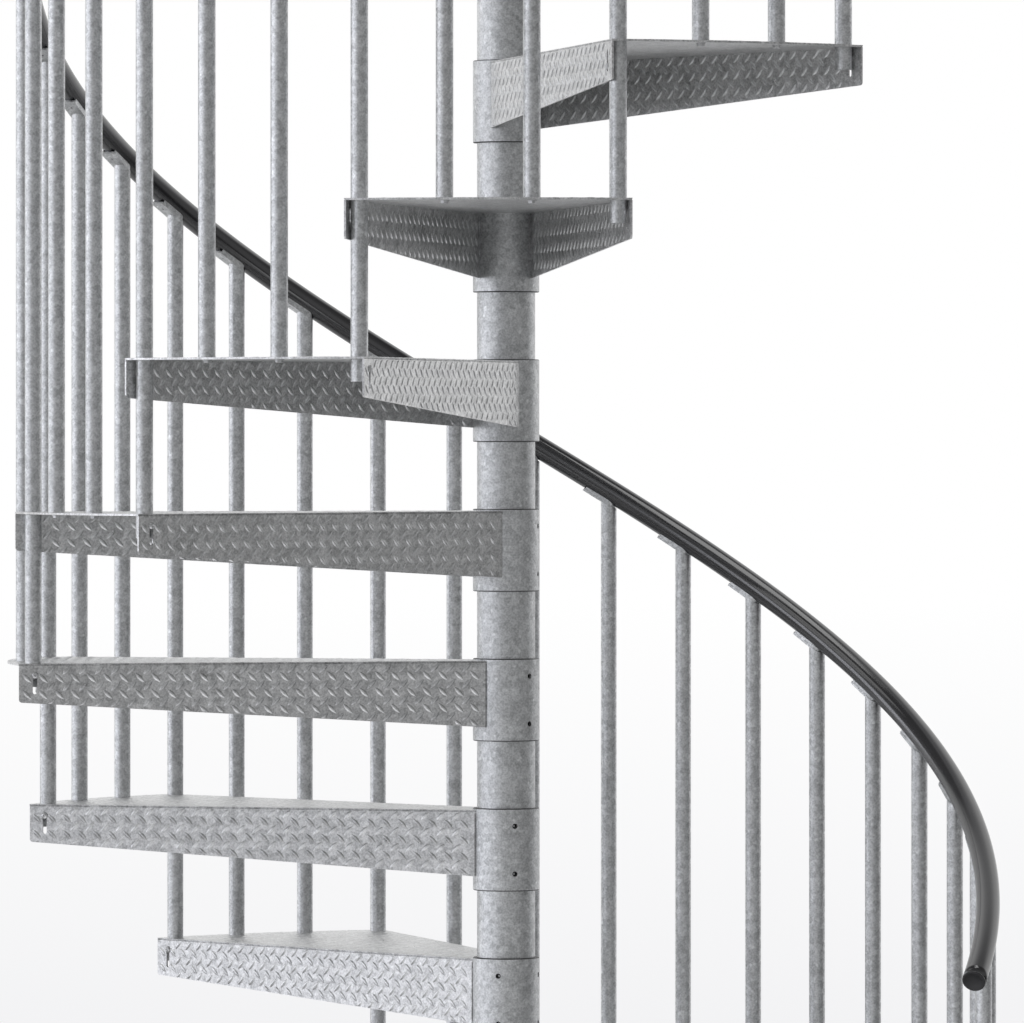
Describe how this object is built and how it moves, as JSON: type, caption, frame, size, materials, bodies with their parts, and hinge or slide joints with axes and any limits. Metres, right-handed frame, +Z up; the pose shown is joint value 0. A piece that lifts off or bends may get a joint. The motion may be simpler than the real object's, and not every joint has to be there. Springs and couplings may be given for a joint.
{
  "type": "spiral staircase",
  "caption": "Galvanised steel spiral staircase: folded sheet treads on a central column, tube balusters and a round black helical handrail.",
  "frame": {"origin": "on the column axis, at the underside of the base plate", "axes": "+Z up along the column; the picture looks along +Y with +X to its right"},
  "size_m": [1.5239, 1.5239, 3.9763],
  "materials": {
    "galvanised_steel": "hot-dip galvanised, fine mottled grey",
    "black_handrail": "satin black"
  },
  "bodies": {
    "root": {"base_plate": "galvanised_steel", "base_collar": "galvanised_steel", "center_column": "galvanised_steel", "column_cap": "galvanised_steel", "tread_01": "galvanised_steel", "tread_02": "galvanised_steel", "tread_03": "galvanised_steel", "tread_04": "galvanised_steel", "tread_05": "galvanised_steel", "tread_06": "galvanised_steel", "tread_07": "galvanised_steel", "tread_08": "galvanised_steel", "tread_09": "galvanised_steel", "tread_10": "galvanised_steel", "tread_11": "galvanised_steel", "tread_12": "galvanised_steel", "hub_01": "galvanised_steel", "hub_02": "galvanised_steel", "hub_03": "galvanised_steel", "hub_04": "galvanised_steel", "hub_05": "galvanised_steel", "hub_06": "galvanised_steel", "hub_07": "galvanised_steel", "hub_08": "galvanised_steel", "hub_09": "galvanised_steel", "hub_10": "galvanised_steel", "hub_11": "galvanised_steel", "hub_12": "galvanised_steel", "balusters_01": "galvanised_steel", "balusters_02": "galvanised_steel", "balusters_03": "galvanised_steel", "balusters_04": "galvanised_steel", "balusters_05": "galvanised_steel", "balusters_06": "galvanised_steel", "balusters_07": "galvanised_steel", "balusters_08": "galvanised_steel", "balusters_09": "galvanised_steel", "balusters_10": "galvanised_steel", "balusters_11": "galvanised_steel", "balusters_12": "galvanised_steel", "top_baluster": "galvanised_steel", "handrail": "black_handrail", "handrail_cap_bottom": "black_handrail", "handrail_cap_top": "black_handrail"}
  },
  "joints": []
}
